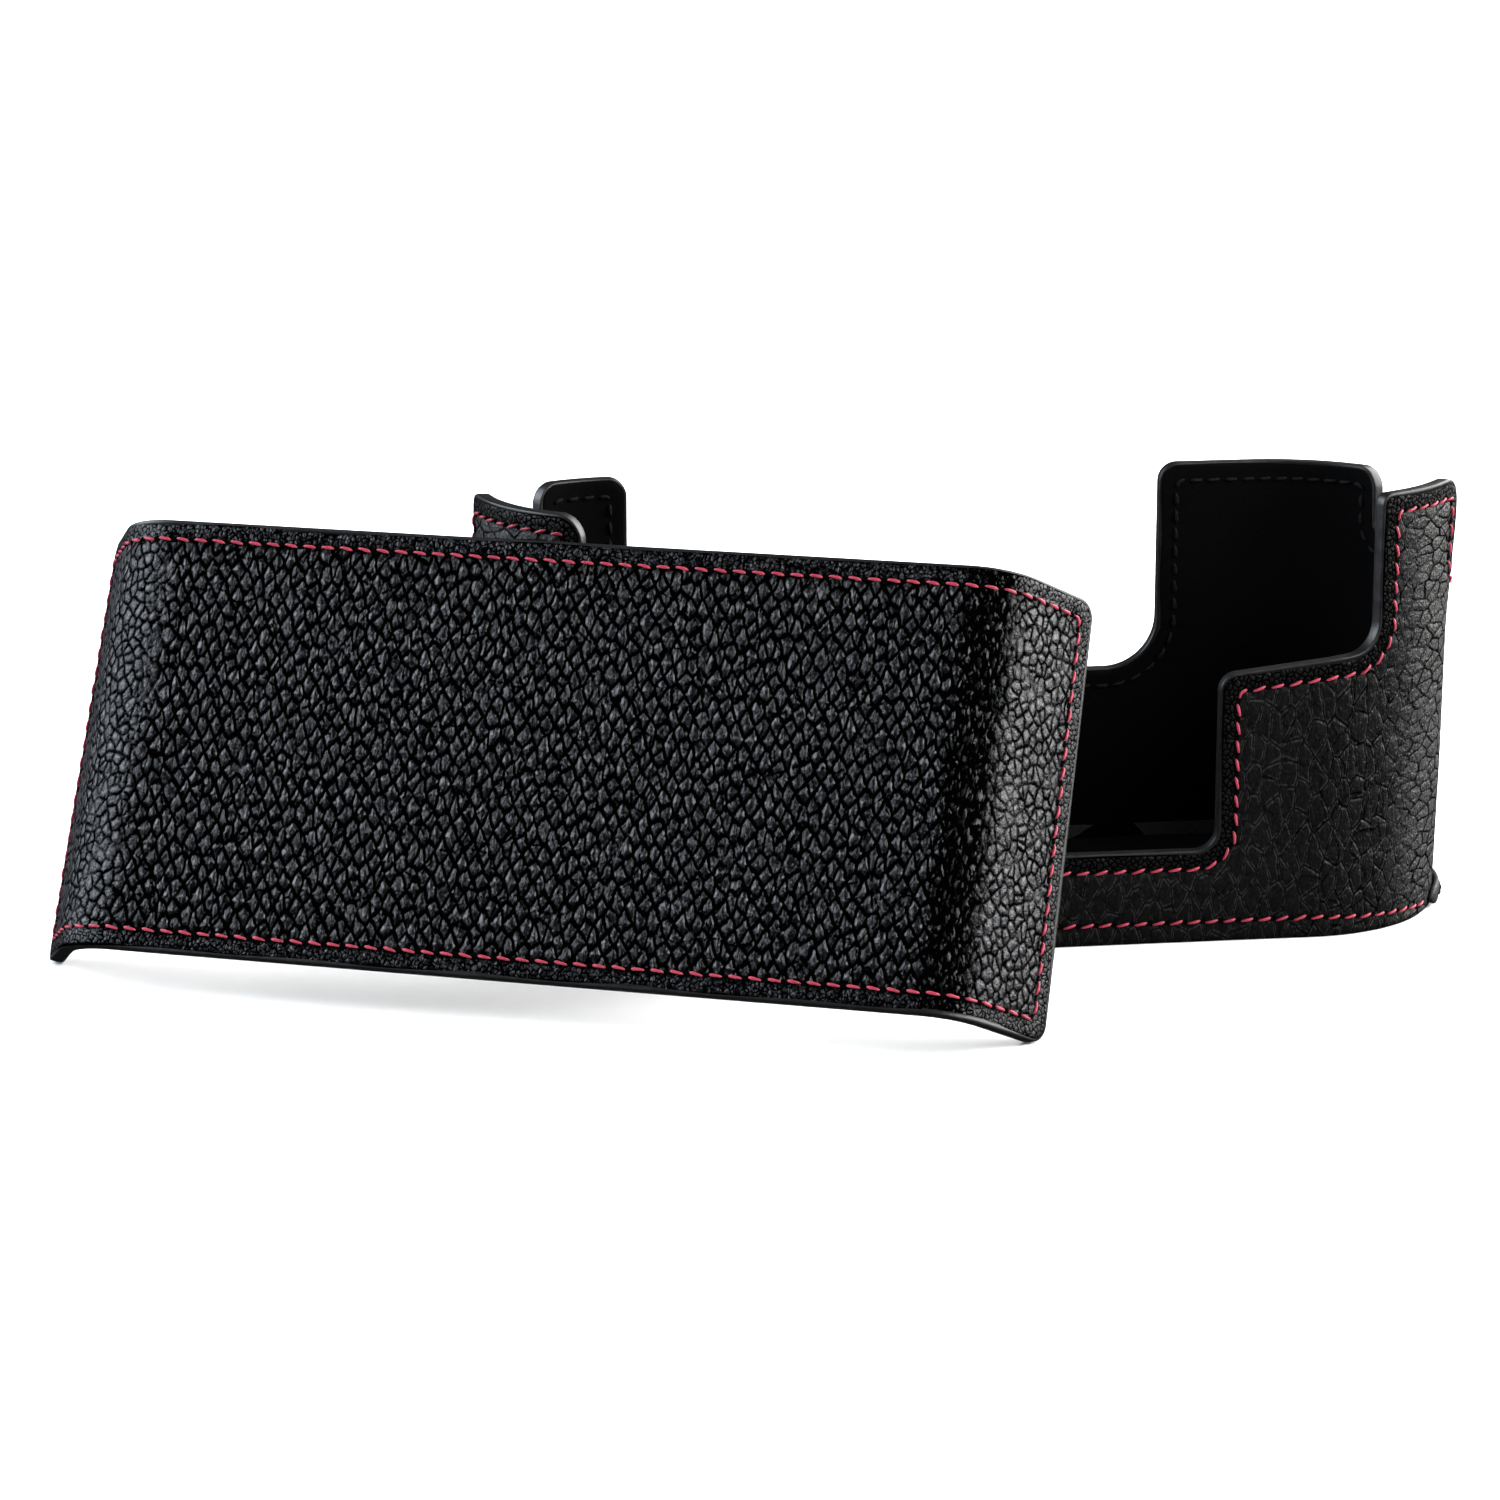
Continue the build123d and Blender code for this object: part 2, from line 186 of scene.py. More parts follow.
def crease_net(finish, cell, wander, wander_size, width, uneven):
    """A net of creases round lozenge cells, cell wide and high in millimetres: how far up the dome of
    its cell a point lies, how deep in a crease, both from 0 to 1, and how far from the crease. The net
    is a square one turned by an eighth, so that its cells stand on their points."""
    diagonal = 1.41
    flank = 2.2
    place = grain_place(finish, (diagonal / cell[0], diagonal / cell[1], 1), wander, wander_size)
    place = finish.node("ShaderNodeMapping", {}, {"Vector": place, "Rotation": (0, 0, pi / 4)})
    edge = cells(finish, place, "DISTANCE_TO_EDGE", uneven)
    heart = cells(finish, place, "F1", uneven)
    rise = finish.math("MINIMUM", edge * flank, 1.0)
    dome = (1 - (1 - rise) ** 2) * 0.6 + (1 - heart ** 2) * 0.6
    return dome, 1 - finish.step(edge, 0.01, width), edge


def pebbled_leather(name, cell, worn_cell, relief, uneven, creases, lively, worn, shade, darkened, streak_glint_share, lip_glint_share,
                    crease_shade, colour, gloss, shine):
    """Milled hide: domed pebbles between creases, fine wrinkles on each, and pores, under painted shade and
    painted highlights. creases are the widths of the painted crease shade where the grain is full and where
    it has been pressed flat over a bend. lively says where the grain stands up, worn where it is pressed and
    polished, which also moves the painted shade, and shade where a band gets extra painted shade, all from 0
    to 1. Where it is not worn, the darkened share is painted dimming over the pebbles, the streak and lip
    shares are how much of it painted highlights on streaks and crease lips take off again, and the crease
    shade is how dark the painted shade in the creases is."""
    finish = Finish(name, specular_ior_level=shine)
    plain = grain_place(finish)
    rim = finish.node("ShaderNodeAttribute", {"attribute_name": "rim_mm"}, output=2)
    lively = lively(finish, plain)
    worn = worn(finish, plain)
    patches = finish.noise(plain, 5.5, 2.0)
    spots = finish.noise(plain, 1.1, 3.0, 0.65)
    pores = finish.noise(plain, 0.20, 3.0, 0.7)
    wrinkles = finish.noise(grain_place(finish, (1, 0.45, 1), 0.5, 1.0), 0.32, 2.0, 0.6)
    streaks = finish.noise(grain_place(finish, (1, 0.36, 1), 0.8, 1.6), 0.45, 1.5, 0.5)
    # Painted glints: these streaks raise the relief a little and lift the painted dimming as painted
    # highlights.
    glints = finish.step(streaks, 0.50, 0.60)
    margin = 1 - finish.step(rim, 2.1, 3.0)
    width = creases[0] + (creases[1] - creases[0]) * worn + 0.10 * (spots - 0.5)
    dome, groove, edge = crease_net(finish, cell, 1.3, 4.0, width, uneven)
    # A painted highlight line along one lip of each crease, broken up by the spots.
    painted_lip_glint = (1 - finish.step(abs(edge - 0.07), 0.02, 0.06)) * finish.step(spots, 0.42, 0.54)
    worn_dome, worn_groove, _ = crease_net(finish, worn_cell, 1.1, 3.0, width, 0.9)
    dome = dome + worn * (worn_dome - dome)
    groove = groove + worn * (worn_groove - groove)
    fine_dome, fine_groove, _ = crease_net(finish, (1.1, 1.1), 0.5, 1.0, 0.22, 0.95)
    long_dome, long_groove, _ = crease_net(finish, (7.5, 11), 3.0, 4.5, 0.045, 1.0)
    # Painted highlights on streaks and crease lips lift the painted dimming, which dims the pebbles where the
    # hide is not worn and the margin where it is.
    painted_highlight = finish.math("MAXIMUM", glints * streak_glint_share, painted_lip_glint * lip_glint_share * (1 - margin))
    painted_dimming = (darkened * (1 - worn) + 0.45 * margin * worn) * (1 - painted_highlight)
    full = lively * (0.55 + 0.45 * finish.step(patches, 0.3, 0.5)) * (1 - 0.9 * margin)
    fine = (0.15 + 0.5 * worn) * finish.step(spots, 0.40, 0.60) * (1 - margin) + 0.75 * margin
    height = dome * full * relief * (1 - 0.5 * worn) + fine_dome * fine * 0.12 + long_dome * lively * 0.05
    height = height + wrinkles * (0.10 * lively) + spots * 0.07 + pores * (0.025 + 0.04 * worn)
    finish.bump(height + glints * (0.07 * lively))
    # Painted shade: lightless black in the creases of each net, in the band given by shade, and as the
    # painted dimming.
    painted_shade = groove * full * (crease_shade + (0.95 - crease_shade) * worn) + fine_groove * fine * 0.75
    painted_shade = painted_shade + long_groove * lively * 0.25 + shade(finish, plain) + painted_dimming
    # Lightless black, too, along the last half millimetre before the cut edge.
    painted_shade = finish.math("MINIMUM", painted_shade + (1 - finish.step(rim, 0.15, 0.55)), 1.0)
    light = tuple(1.9 * part for part in colour[:3]) + (1,)
    finish.set({"Base Color": finish.mix(spots, colour, light),
                "Roughness": gloss + 0.14 * pores + 0.10 * spots + 0.08 * worn})
    finish.paint_shade(painted_shade)
    return finish.material


def no_shade(finish, place):
    return 0.0


# ---- Wall leather ---------------------------------------------------------------------------
# One strip of black milled calf, cut to the front and back outlines, wrapped round both ends and
# glued over the stiffener. Its bottom edge is turned slightly in under the base.

case_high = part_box("wall_leather")[1]
end_radius = case_high.y / MM
end_centre = case_high.x / MM - end_radius
front_height = case_high.z / MM
half_round = pi * end_radius
back_middle = 2 * end_centre + half_round
leather = 1.1
stiffener = 0.5
lining = 0.6
wall = leather + stiffener + lining


def smooth(value, low, high):
    """A soft step from 0 at low to 1 at high."""
    share = np.clip((value - low) / (high - low), 0, 1)
    return share * share * (3 - 2 * share)


def sprung(s, z):
    """How far the right end has sprung outwards, most of all at the free edge of its narrow strip."""
    lean = smooth(s, 56, 76) * (1 - smooth(s, 80, 96)) * np.clip((z - 16) / 48, 0, 1)
    free_edge = np.clip((s - 68.5) / 9, 0, 1) ** 2 * (1 - smooth(s, 78, 84)) * smooth(z, 42, 60)
    return 0.7 * lean + 0.9 * free_edge


def around_case(s, z, depth):
    """From a place on the unrolled wall to the half case, in metres. s runs from the middle of the front
    towards +X, and depth inwards from the outer face."""
    depth = depth - sprung(s, z)
    along = np.abs(s)
    angle = np.clip((along - end_centre) / end_radius, 0, pi)
    past_back = np.maximum(along - end_centre - half_round, 0)
    radius = end_radius - depth
    x = np.sign(s) * (np.minimum(along, end_centre) + radius * np.sin(angle) - past_back)
    return np.stack([x, -radius * np.cos(angle), z + 0 * x], -1) * MM


def front_at(x):
    """Where a place on the front wall comes on the unrolled wall."""
    past = max(abs(x) - end_centre, 0)
    s = min(abs(x), end_centre) + end_radius * asin(past / end_radius)
    return s if x > 0 else -s


def back_at(x):
    """The same for a place on the back wall."""
    s = 2 * end_centre + half_round - abs(front_at(x))
    return s if x > 0 else -s


def end_at(y, side):
    return side * (end_centre + end_radius * acos(-y / end_radius))


back_height = 62.2
bridge_height = 13.8
step_edge = 33.5
shoulder_low = 39.8
shoulder_high = 42.5
shelf_height = 30.6
notch_bottom = 51.6


def rim_side(side, strip_edge, strip_corner, notch_from, notch_to, tab_edge):
    """Half of the wall's top edge, from the middle of the front to the middle of the back."""
    strip = front_at(side * strip_edge)
    notch_front = end_at(notch_from, side)
    notch_back = end_at(notch_to, side)
    tab = back_at(side * tab_edge)
    return [
        (side * step_edge, bridge_height, 3.2),
        (side * step_edge, shoulder_low, 2.6),
        (strip, shoulder_high, 5.0),
        (strip, front_height, strip_corner),
        (notch_front, front_height, 4.4),
        (notch_front, notch_bottom, 2.6),
        (notch_back, notch_bottom, 2.6),
        (notch_back, back_height, 3.2),
        (tab, back_height, 2.8),
        (tab, shelf_height, 8.0),
        (side * back_middle, shelf_height, 0),
    ]


left_rim = rim_side(-1, strip_edge=58.6, strip_corner=3.8, notch_from=1.0, notch_to=19.6, tab_edge=47.2)
right_rim = rim_side(1, strip_edge=57.2, strip_corner=1.6, notch_from=-8.0, notch_to=14.3, tab_edge=34.3)
rim_corners = left_rim[::-1] + right_rim


def rounded_line(corners, spacing=0.35):
    """A line through corners given as (s, z, radius), with its round stretches as arcs."""
    points = []
    for index, (s, z, radius) in enumerate(corners):
        here = np.array((s, z), float)
        if index in (0, len(corners) - 1) or radius <= 0:
            points.append(here)
            continue
        back = np.array(corners[index - 1][:2]) - here
        ahead = np.array(corners[index + 1][:2]) - here
        back = back / np.linalg.norm(back)
        ahead = ahead / np.linalg.norm(ahead)
        half_angle = acos(np.clip(back @ ahead, -1, 1)) / 2
        middle = (back + ahead) / np.linalg.norm(back + ahead)
        centre = here + middle * radius / sin(half_angle)
        start = here + back * radius / np.tan(half_angle) - centre
        sweep = pi - 2 * half_angle
        turn = np.sign(start[0] * -middle[1] - start[1] * -middle[0])
        for share in np.linspace(0, 1, max(int(radius * sweep / spacing), 3) + 1):
            angle = turn * sweep * share
            points.append(centre + (start[0] * cos(angle) - start[1] * sin(angle),
                                    start[0] * sin(angle) + start[1] * cos(angle)))
    return np.array(points)


def moved_in(corners, inset):
    """The same corners moved inwards, to the right of the line's way, with their radii to suit."""
    moved = []
    for index, (s, z, radius) in enumerate(corners):
        here = np.array((s, z), float)
        before = here - np.array(corners[max(index - 1, 0)][:2])
        after = np.array(corners[min(index + 1, len(corners) - 1)][:2]) - here
        before = before if index > 0 else after
        after = after if index < len(corners) - 1 else before
        before = before / np.linalg.norm(before)
        after = after / np.linalg.norm(after)
        right_before = np.array((before[1], -before[0]))
        right_after = np.array((after[1], -after[0]))
        shift = (right_before + right_after) / (1 + right_before @ right_after)
        turn = before[0] * after[1] - before[1] * after[0]
        radius = radius + inset if turn > 0 else max(radius - inset, 0.9)
        moved.append((*(here + shift * inset), radius))
    return moved


def inside_distance(points, line):
    """How far each point lies inside a closed line, below zero outside it, and the line's nearest point."""
    start = line
    run = np.roll(line, -1, 0) - start
    length2 = np.maximum((run ** 2).sum(1), 1e-12)
    nearest = np.empty_like(points)
    inside = np.empty(len(points), bool)
    for low in range(0, len(points), 20000):
        some = points[low:low + 20000]
        gap = some[:, None] - start[None]
        share = np.clip((gap * run).sum(2) / length2, 0, 1)
        off = gap - share[..., None] * run
        best = (off ** 2).sum(2).argmin(1)
        rows = np.arange(len(some))
        nearest[low:low + 20000] = some - off[rows, best]
        spans = (start[:, 0] > some[:, None, 0]) != (start[:, 0] + run[:, 0] > some[:, None, 0])
        rise = np.where(run[:, 0] == 0, 1, run[:, 0])
        above = start[:, 1] + (some[:, None, 0] - start[:, 0]) * run[:, 1] / rise > some[:, None, 1]
        inside[low:low + 20000] = (spans & above).sum(1) % 2 == 1
    distance = np.linalg.norm(points - nearest, axis=1)
    return np.where(inside, distance, -distance), nearest


def without_spares(faces, count):
    """The corners that the faces use, and the same faces with those corners numbered from 0."""
    used = np.unique(np.concatenate([np.array(face) for face in faces]))
    renumber = np.full(count, -1)
    renumber[used] = np.arange(len(used))
    return used, [[int(renumber[corner]) for corner in face] for face in faces]


def cut_sheet(line, s_range, z_range, step, wraps=False):
    """A fine grid trimmed to a closed line: its flat points, its faces, and how far each point is in."""
    columns = round((s_range[1] - s_range[0]) / step) + 1
    rows = round((z_range[1] - z_range[0]) / step) + 1
    s, z = np.meshgrid(np.linspace(*s_range, columns), np.linspace(*z_range, rows), indexing="ij")
    points = np.stack([s, z], -1).reshape(-1, 2)
    inset, nearest = inside_distance(points, line)
    close = np.abs(inset) < 0.3 * step
    points[close] = nearest[close]
    inset[close] = 0
    kept = inset >= 0
    index = np.arange(columns * rows).reshape(columns, rows)
    if wraps:
        index[-1] = index[0]
    quads = np.stack([index[:-1, :-1], index[1:, :-1], index[1:, 1:], index[:-1, 1:]], -1).reshape(-1, 4)
    whole = kept[quads].all(1)
    faces = quads[whole].tolist()
    extra = []
    crossings = {}

    def crossing(a, b):
        key = (min(a, b), max(a, b))
        if key not in crossings:
            share = inset[a] / (inset[a] - inset[b])
            crossings[key] = len(points) + len(extra)
            extra.append(points[a] + (points[b] - points[a]) * share)
        return crossings[key]

    for quad in quads[kept[quads].any(1) & ~whole]:
        polygon = []
        for a, b in zip(quad, np.roll(quad, -1)):
            if kept[a]:
                polygon.append(int(a))
            if kept[a] != kept[b] and inset[a] != 0 and inset[b] != 0:
                polygon.append(crossing(int(a), int(b)))
        if len(polygon) >= 3:
            faces.append(polygon)
    points = np.concatenate([points, np.array(extra).reshape(-1, 2)])
    inset = np.concatenate([inset, np.zeros(len(extra))])
    used, faces = without_spares(faces, len(points))
    return points[used], faces, inset[used]


def make_piece(name, places, faces, finish, body, nodes=(), hide_mm=None, rim_mm=None):
    """One finished mesh that rides on a body, takes a slot's finish and stands for CAD nodes."""
    mesh = bpy.data.meshes.new(name)
    mesh.from_pydata(np.asarray(places).tolist(), [], faces)
    mesh.polygons.foreach_set("use_smooth", [True] * len(mesh.polygons))
    grain = mesh.attributes.new("hide_mm", "FLOAT_VECTOR", "POINT")
    grain.data.foreach_set("vector", np.asarray(places if hide_mm is None else hide_mm, np.float32).ravel()
                           * (1 / MM if hide_mm is None else 1))
    if rim_mm is not None:
        rim = mesh.attributes.new("rim_mm", "FLOAT", "POINT")
        rim.data.foreach_set("value", np.asarray(rim_mm, np.float32))
    mesh.materials.append(finish)
    piece = bpy.data.objects.new(name, mesh)
    bpy.context.scene.collection.objects.link(piece)
    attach(piece, body)
    if nodes:
        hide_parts(*nodes)
    return piece


def closed_sheet(flat, faces, place, outer, inner):
    """A sheet with its two faces at their own depths and its cut edges closed."""
    count = len(flat)
    places = np.concatenate([place(flat[:, 0], flat[:, 1], outer), place(flat[:, 0], flat[:, 1], inner)])
    ways = {(a, b) for face in faces for a, b in zip(face, face[1:] + face[:1])}
    sides = [[b, a, a + count, b + count] for a, b in ways if (b, a) not in ways]
    under = [[corner + count for corner in reversed(face)] for face in faces]
    return places, faces + under + sides


def hide_piece(name, flat, faces, inset, place, outer, inner, finish, body, nodes):
    """A sheet of leather that keeps its places on the flat hide, for the grain."""
    places, faces = closed_sheet(flat, faces, place, outer, inner)
    hide = np.stack([flat[:, 0], flat[:, 1], 0 * flat[:, 0]], -1)
    make_piece(name, places, faces, finish, body, nodes,
               hide_mm=np.concatenate([hide, hide]), rim_mm=np.concatenate([inset, inset]))


def walk(line, pitch, closed):
    """Evenly spaced places along a line, about one pitch apart."""
    if closed:
        line = np.concatenate([line, line[:1]])
    run = np.concatenate([[0], np.cumsum(np.linalg.norm(np.diff(line, axis=0), axis=1))])
    count = round(run[-1] / pitch)

    def at(share):
        along = np.asarray(share) / count * run[-1]
        return np.stack([np.interp(along, run, line[:, 0]), np.interp(along, run, line[:, 1])], -1)

    return at, count


def pressed_by(flat, holes, near):
    """How far the leather is drawn down round needle holes: a pit at each and a soft channel between."""
    pit_depth, pit_width = 0.26, 0.42
    channel_depth, channel_width = 0.13, 1.25
    down = np.zeros(len(flat))
    rows = np.flatnonzero(near)
    for low in range(0, len(rows), 4000):
        some = rows[low:low + 4000]
        gap = np.linalg.norm(flat[some][:, None] - holes[None], axis=2).min(1)
        down[some] = (pit_depth * np.exp(-(gap / pit_width) ** 2)
                      + channel_depth * np.exp(-(gap / channel_width) ** 2))
    return down


def rounded_edge(inset, width=1.0, drop=0.28):
    return drop * np.clip(1 - inset / width, 0, 1) ** 2


def slow_waves(flat, size, seed):
    """Gentle unevenness from -1 to 1, the same on every run."""
    rng = np.random.default_rng(seed)
    total = np.zeros(len(flat))
    for _ in range(7):
        angle = rng.uniform(0, tau)
        wave = size * rng.uniform(0.7, 1.8)
        total += np.sin((flat @ (cos(angle), sin(angle))) * tau / wave + rng.uniform(0, tau))
    return total / 4


rim_line = rounded_line(rim_corners)
rim_closed = np.concatenate([rim_line, [(back_middle, -60), (-back_middle, -60)]])
rim_seam_inset = 2.6
rim_seam = rounded_line(moved_in(rim_corners, rim_seam_inset))
rim_walk, rim_count = walk(rim_seam, 2.72, closed=False)
base_seam_end = end_at(-13.5, 1)
base_seam_high, base_seam_low = 3.2, 1.9
base_seam = np.array([(-base_seam_end, base_seam_low), (-end_centre, base_seam_high),
                      (end_centre, base_seam_high), (base_seam_end, base_seam_low)])
base_walk, base_count = walk(base_seam, 2.62, closed=False)
turned_in = 0.6
taper_height = 9.0
taper = 0.3


def base_draw(z):
    """How far the wall comes in near the ground: a slight taper and the turned bottom edge."""
    slope = taper * np.clip(1 - z / taper_height, 0, 1) ** 2
    low = np.clip(turned_in - z, 0, turned_in)
    return slope + turned_in - np.sqrt(turned_in ** 2 - low ** 2 * 0.98)


def case_lively(finish, place):
    """The grain is nearly smooth beside the lens opening and stands up towards the ends."""
    return 0.35 + 0.65 * finish.step(abs(finish.along(place)), 40, 60)


def case_worn(finish, place):
    # The rubbed ends; there the painted dimming leaves the pebbles and the painted crease shade is at its
    # darkest.
    return finish.step(abs(finish.along(place)), 57, 69)


case_leather = pebbled_leather("case_leather", cell=(2.9, 6.2), worn_cell=(5.2, 2.6), relief=0.26,
                               uneven=0.85, creases=(0.10, 0.14), lively=case_lively, worn=case_worn,
                               shade=no_shade, darkened=0.72, streak_glint_share=0.12, lip_glint_share=1.0, crease_shade=0.35,
                               colour=(0.0050, 0.0050, 0.0052, 1), gloss=0.28, shine=0.42)
flat, faces, inset = cut_sheet(rim_closed, (-back_middle, back_middle), (0, front_height), 0.5)
holes = np.concatenate([rim_walk(np.arange(rim_count + 1)), base_walk(np.arange(base_count + 1))])
drawn = pressed_by(flat, holes, (np.abs(inset - rim_seam_inset) < 3) | (flat[:, 1] < 8))
outer = base_draw(flat[:, 1]) + drawn + rounded_edge(inset) - 0.12 * slow_waves(flat, 24, 3)
hide_piece("case_wall_leather", flat, faces, inset, around_case, outer, np.maximum(leather, outer + 0.3),
           case_leather, "half_case", ["wall_leather"])


# ---- Wall edge ------------------------------------------------------------------------------
# The cut edges of leather, board and lining, sanded flush and sealed with black edge paint. The
# paint stands a little proud and rounds the edge over.

def edge_paint_finish():
    finish = Finish("edge_paint", specular_ior_level=0.35)
    place = grain_place(finish)
    runs = finish.noise(place, 2.2, 2.0)
    nibs = finish.noise(place, 0.35, 2.0)
    finish.bump(runs * 0.10 + nibs * 0.02)
    finish.set({"Base Color": finish.mix(runs, (0.002, 0.002, 0.002, 1), (0.004, 0.004, 0.004, 1)),
                "Roughness": 0.32 + 0.22 * runs})
    return finish.material


def tube_faces(rings, sides, first=0, closed=False, capped=True):
    """Faces round a tube whose rings of corners follow one another, and over its ends when capped."""
    faces = []
    for ring in range(rings if closed else rings - 1):
        a = first + ring * sides
        b = first + (ring + 1) % rings * sides
        faces += [[a + k, a + (k + 1) % sides, b + (k + 1) % sides, b + k] for k in range(sides)]
    if capped:
        last = first + (rings - 1) * sides
        faces += [[first + k for k in reversed(range(sides))], [last + k for k in range(sides)]]
    return faces


def painted_edge(name, line, place, thickness, closed, body, nodes=()):
    """A rounded bead that follows a line in the flat, across the full thickness of the layers."""
    ahead = np.roll(line, -1, 0) - line
    behind = line - np.roll(line, 1, 0)
    if not closed:
        ahead[-1] = behind[-1]
        behind[0] = ahead[0]
    ahead /= np.linalg.norm(ahead, axis=1)[:, None]
    behind /= np.linalg.norm(behind, axis=1)[:, None]
    way = ahead + behind
    way /= np.linalg.norm(way, axis=1)[:, None]
    outward = np.stack([-way[:, 1], way[:, 0]], -1)
    proud, rooted, margin = 0.14, 0.7, 0.12
    half = thickness / 2 - margin
    turn = np.linspace(-pi / 2, pi / 2, 9)
    out = np.concatenate([proud * np.cos(turn) ** 0.7, [-rooted, -rooted]])
    depth = thickness / 2 + np.concatenate([half * np.sin(turn), [half, -half]])
    flat_s = line[:, None, 0] + outward[:, None, 0] * out
    flat_z = line[:, None, 1] + outward[:, None, 1] * out
    places = place(flat_s.ravel(), flat_z.ravel(), np.tile(depth, len(line)))
    faces = tube_faces(len(line), len(out), closed=closed, capped=False)
    make_piece(name, places, faces, edge_paint, body, nodes)


def dense(line, spacing):
    """The same line with points no further apart than spacing."""
    points = []
    for a, b in zip(line[:-1], line[1:]):
        steps = max(int(np.ceil(np.linalg.norm(b - a) / spacing)), 1)
        points.extend(a + (b - a) * np.arange(steps)[:, None] / steps)
    return np.array(points)


edge_paint = edge_paint_finish()
bead_spacing = 1.2
painted_edge("case_edge_paint", dense(rim_line, bead_spacing), around_case, wall, False, "half_case",
             ["wall_stiffener"])


# ---- Wall lining ----------------------------------------------------------------------------
# Black microsuede, bonded to the board. Its nap takes almost all the light.

def suede_finish(name, colour):
    finish = Finish(name, specular_ior_level=0.05)
    place = grain_place(finish)
    nap = finish.noise(place, 0.35, 3.0, 0.7)
    strokes = finish.noise(finish.vector("MULTIPLY", place, (1, 1, 0.35)), 7.0, 2.0)
    finish.bump(nap * 0.08 + strokes * 0.1)
    light = tuple(2.2 * part for part in colour[:3]) + (1,)
    finish.set({"Base Color": finish.mix(strokes * 0.6 + nap * 0.3, colour, light), "Roughness": 0.95})
    return finish.material


suede = suede_finish("suede_lining", (0.0005, 0.0005, 0.0006, 1))
floor_top = 4.2
flat, faces, inset = cut_sheet(rim_closed, (-back_middle, back_middle), (floor_top - 0.6, front_height), 0.9,
                               wraps=True)
drawn = pressed_by(flat, rim_walk(np.arange(rim_count + 1)), np.abs(inset - rim_seam_inset) < 3)
inner = wall - 0.6 * drawn - rounded_edge(inset, 0.9, 0.2) + 0.08 * slow_waves(flat, 20, 5)
places, faces = closed_sheet(flat, faces, around_case, np.full(len(flat), leather + stiffener), inner)
make_piece("case_wall_lining", places, faces, suede, "half_case", ["wall_lining"])


# ---- Rim and base stitching -----------------------------------------------------------------
# A lockstitch by machine: red waxed thread outside, black bobbin thread on the lining. Each stitch
# dives into its needle holes and lies at a slight slant.

def thread_finish(name, colour, shade, gloss, shine=0.35):
    finish = Finish(name, specular_ior_level=shine)
    place = grain_place(finish)
    fibres = finish.noise(finish.vector("MULTIPLY", place, (3, 3, 3)), 0.5, 3.0, 0.6)
    blotches = finish.noise(place, 3.0, 1.0)
    finish.bump(fibres * 0.05)
    finish.set({"Base Color": finish.mix(fibres * 0.6 + blotches * 0.4, shade, colour),
                "Roughness": gloss + 0.2 * fibres})
    return finish.material


def sew(name, at, count, place, finish, body, nodes, face_depth=0.0, side=1, slant=0.24, width=0.21):
    """Single stitches from hole to hole. side 1 lies on the outer face and -1 on the inner."""
    rings, sides = 11, 8
    tucked, proud, dive = 0.14, 0.14, 0.40
    t = np.linspace(tucked, 1 - tucked, rings)
    u = np.linspace(-1, 1, rings)
    shares = np.arange(count)[:, None] + t[None]
    rng = np.random.default_rng(count)
    here = at(shares)
    way = at(shares + 0.02) - at(shares - 0.02)
    way /= np.linalg.norm(way, axis=2)[..., None] + 1e-9
    across = np.stack([-way[..., 1], way[..., 0]], -1)
    lean = slant * (1 + 0.25 * rng.standard_normal(count))[:, None] * u
    here = here + across * lean[..., None]
    lift = proud - dive * np.abs(u) ** 4
    lift = np.broadcast_to(lift, here.shape[:2]) + 0.03 * rng.standard_normal(count)[:, None]
    centre = place(here[..., 0].ravel(), here[..., 1].ravel(), (face_depth - side * lift).ravel())
    above = place(here[..., 0].ravel(), here[..., 1].ravel(), (face_depth - side * (lift + 1)).ravel())
    centre = centre.reshape(count, rings, 3)
    up = above.reshape(count, rings, 3) - centre
    up /= np.linalg.norm(up, axis=2)[..., None]
    run = np.gradient(centre, axis=1)
    run /= np.linalg.norm(run, axis=2)[..., None]
    beside = np.cross(run, up)
    up = np.cross(beside, run)
    angle = np.linspace(0, tau, sides, endpoint=False)
    full = (1 - np.abs(u) ** 6) ** 0.5
    ply = 1 + 0.13 * np.cos(2 * angle[None] - tau * 1.5 * t[:, None])
    radius = (width * (0.55 + 0.45 * full))[:, None] * ply
    places = (centre[:, :, None]
              + (radius * np.cos(angle))[None, ..., None] * beside[:, :, None] * MM
              + (0.85 * radius * np.sin(angle))[None, ..., None] * up[:, :, None] * MM)
    faces = []
    for stitch in range(count):
        faces += tube_faces(rings, sides, first=stitch * rings * sides)
    make_piece(name, places.reshape(-1, 3), faces, finish, body, nodes)


def needle_holes(name, at, count, place, body, width=0.42):
    """Painted shade in the needle holes where the thread dives into the leather: a lightless low cone at
    each.
    """
    sides = 10
    pit_top, pit_rim, apart = -0.05, 0.22, 0.08
    centres = at(np.arange(count + 1)[:, None] + np.array([[-apart, apart]])).reshape(-1, 2)
    turn = np.linspace(0, tau, sides, endpoint=False)
    s = centres[:, None, 0] + np.concatenate([[0], width * np.cos(turn)])
    z = centres[:, None, 1] + np.concatenate([[0], width * np.sin(turn)])
    depth = np.tile(np.concatenate([[pit_top], np.full(sides, pit_rim)]), (len(centres), 1))
    faces = [[first, first + 1 + k, first + 1 + (k + 1) % sides]
             for first in range(0, len(centres) * (sides + 1), sides + 1) for k in range(sides)]
    places = place(s.ravel(), z.ravel(), depth.ravel())
    make_piece(name, places, faces, hole_shade, body)


